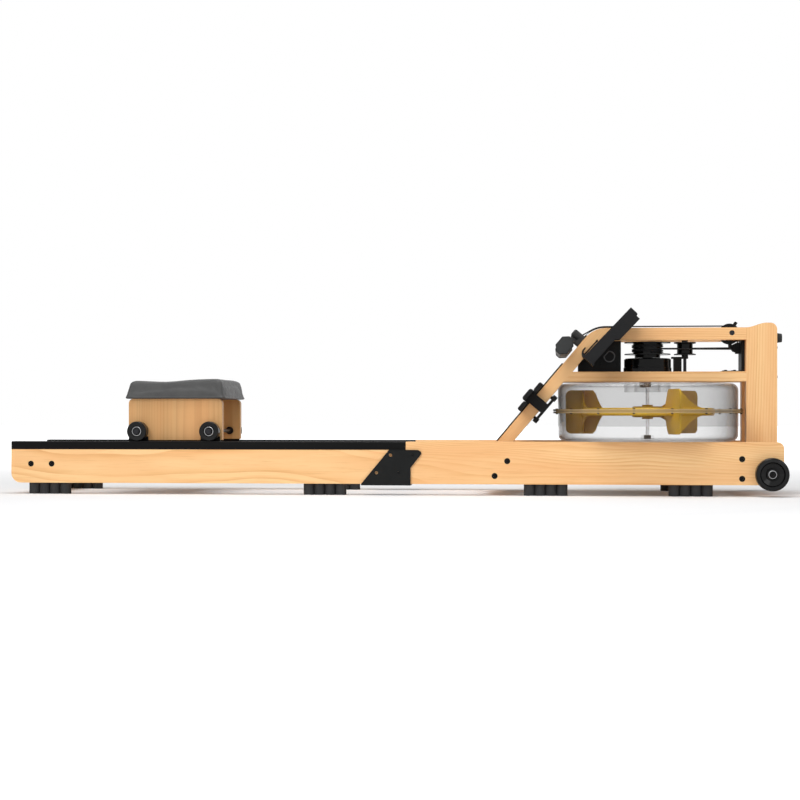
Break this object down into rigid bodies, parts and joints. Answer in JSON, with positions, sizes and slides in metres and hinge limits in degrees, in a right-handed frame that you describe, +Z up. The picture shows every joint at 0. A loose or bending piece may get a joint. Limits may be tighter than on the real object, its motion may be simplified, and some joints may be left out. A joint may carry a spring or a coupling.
{
  "type": "water rowing machine",
  "caption": "Wooden water rowing machine: seat on rollers, tilting device holder, sliding foot rest, rope-driven impeller in a clear water tank.",
  "frame": {"origin": "on the floor, midway along the overall length and width", "axes": "+X along the rails towards the tank end, +Z up, -Y the side with the device holder"},
  "size_m": [2.096, 0.519, 0.502],
  "materials": {
    "beech": "satin lacquer",
    "track": "satin",
    "black_steel": "powder coat",
    "zinc_steel": "turned",
    "black_rubber": "matte",
    "black_plastic": "fine grain",
    "roller_tread": "gloss",
    "cord": "braided",
    "clear_shell": "smoky clear moulding",
    "amber": "moulded",
    "pale_nylon": "moulded",
    "cushion_cover": "fine grained vinyl",
    "grip_foam": "soft foam"
  },
  "bodies": {
    "frame": {"rear_rail_near": "beech", "rear_rail_far": "beech", "front_rail_near": "beech", "front_rail_far": "beech", "seat_tracks": "track", "splice_plates": "black_steel", "rear_cross_board": "beech", "tilted_cross_board": "beech", "front_cross_board": "beech", "frame_bolts": "black_steel", "rubber_feet": "black_rubber", "seat_stops": "black_rubber", "post_near": "beech", "post_far": "beech", "sloped_beam_near": "beech", "sloped_beam_far": "beech", "top_beams": "beech", "deck_beams": "beech", "deck_board": "beech", "storage_bumpers": "black_rubber", "rope_guide": "black_steel", "front_sheet": "track", "handle_rests": "black_rubber", "control_housing": "black_plastic", "pulley_axles": "zinc_steel", "guide_bracket": "black_steel", "cord_guide": "black_plastic", "rope_keeper": "black_steel", "clutch_housing": "black_plastic", "recoil_bracket": "black_steel", "drive_rope": "cord", "recoil_cord": "cord", "tank_lower": "clear_shell", "tank_upper": "clear_shell", "tank_gasket": "black_rubber", "flange_screws": "black_steel", "shaft_bushes": "pale_nylon", "wheel_bolts": "black_steel", "fill_plug": "pale_nylon"},
    "seat": {"seat_cushion": "cushion_cover", "seat_board": "beech", "seat_panels": "beech", "seat_axles": "zinc_steel", "roller_guards": "black_plastic"},
    "rear_rollers": {"rear_rollers": "roller_tread"},
    "front_rollers": {"front_rollers": "roller_tread"},
    "handle": {"handle_grip": "grip_foam", "handle_caps": "black_rubber", "pull_rope": "cord"},
    "drum": {"rope_drum": "black_plastic"},
    "idler": {"idler_pulley": "black_plastic"},
    "recoil": {"recoil_pulley": "black_plastic"},
    "impeller": {"impeller": "amber", "drive_shaft": "zinc_steel"},
    "wheel_near": {"wheel_near": "roller_tread"},
    "wheel_far": {"wheel_far": "roller_tread"},
    "slider": {"foot_slider": "black_steel", "foot_rests": "black_rubber"},
    "holder": {"holder_slab": "black_plastic", "holder_tray": "black_plastic"}
  },
  "joints": [
    {"name": "seat_slide", "type": "slide", "parent": "frame", "child": "seat", "axis": [1, 0, 0], "range_m": [-0.29, 0.475]},
    {"name": "rear_rollers_spin", "type": "hinge", "parent": "seat", "child": "rear_rollers", "pos_m": [-0.699, 0, 0.1713], "axis": [0, 1, 0], "continuous": true},
    {"name": "front_rollers_spin", "type": "hinge", "parent": "seat", "child": "front_rollers", "pos_m": [-0.499, 0, 0.1713], "axis": [0, 1, 0], "continuous": true},
    {"name": "handle_pull", "type": "slide", "parent": "frame", "child": "handle", "axis": [-1, 0, 0], "range_m": [0, 1.1], "stiffness_N_per_m": 40, "springref_m": -0.6, "deforming": ["pull_rope"]},
    {"name": "drum_spin", "type": "hinge", "parent": "frame", "child": "drum", "pos_m": [0.692, 0, 0.3985], "axis": [0, 0, 1], "continuous": true},
    {"name": "idler_spin", "type": "hinge", "parent": "frame", "child": "idler", "pos_m": [0.914, 0, 0.43795], "axis": [0, 1, 0], "continuous": true},
    {"name": "recoil_spin", "type": "hinge", "parent": "frame", "child": "recoil", "pos_m": [0.795, 0.014, 0.3985], "axis": [0, 0, 1], "continuous": true},
    {"name": "impeller_spin", "type": "hinge", "parent": "frame", "child": "impeller", "pos_m": [0.692, 0, 0.2245], "axis": [0, 0, 1], "continuous": true},
    {"name": "wheel_near_spin", "type": "hinge", "parent": "frame", "child": "wheel_near", "pos_m": [1.0043, -0.198, 0.0595], "axis": [0, 1, 0], "continuous": true},
    {"name": "wheel_far_spin", "type": "hinge", "parent": "frame", "child": "wheel_far", "pos_m": [1.0043, 0.198, 0.0595], "axis": [0, 1, 0], "continuous": true},
    {"name": "slider_height", "type": "slide", "parent": "frame", "child": "slider", "axis": [0.6461, 0, 0.7632], "range_m": [-0.09, 0]},
    {"name": "holder_tilt", "type": "hinge", "parent": "frame", "child": "holder", "pos_m": [0.58594, -0.12, 0.431], "axis": [0, 1, 0], "range_deg": [-30, 10]}
  ],
  "couplings": [
    {"joint": "rear_rollers_spin", "follows": "seat_slide", "rad_per_m": 37.037},
    {"joint": "front_rollers_spin", "follows": "seat_slide", "rad_per_m": 37.037},
    {"joint": "drum_spin", "follows": "handle_pull", "rad_per_m": 24.068},
    {"joint": "idler_spin", "follows": "handle_pull", "rad_per_m": -45.355},
    {"joint": "recoil_spin", "follows": "handle_pull", "rad_per_m": 42.466}
  ]
}
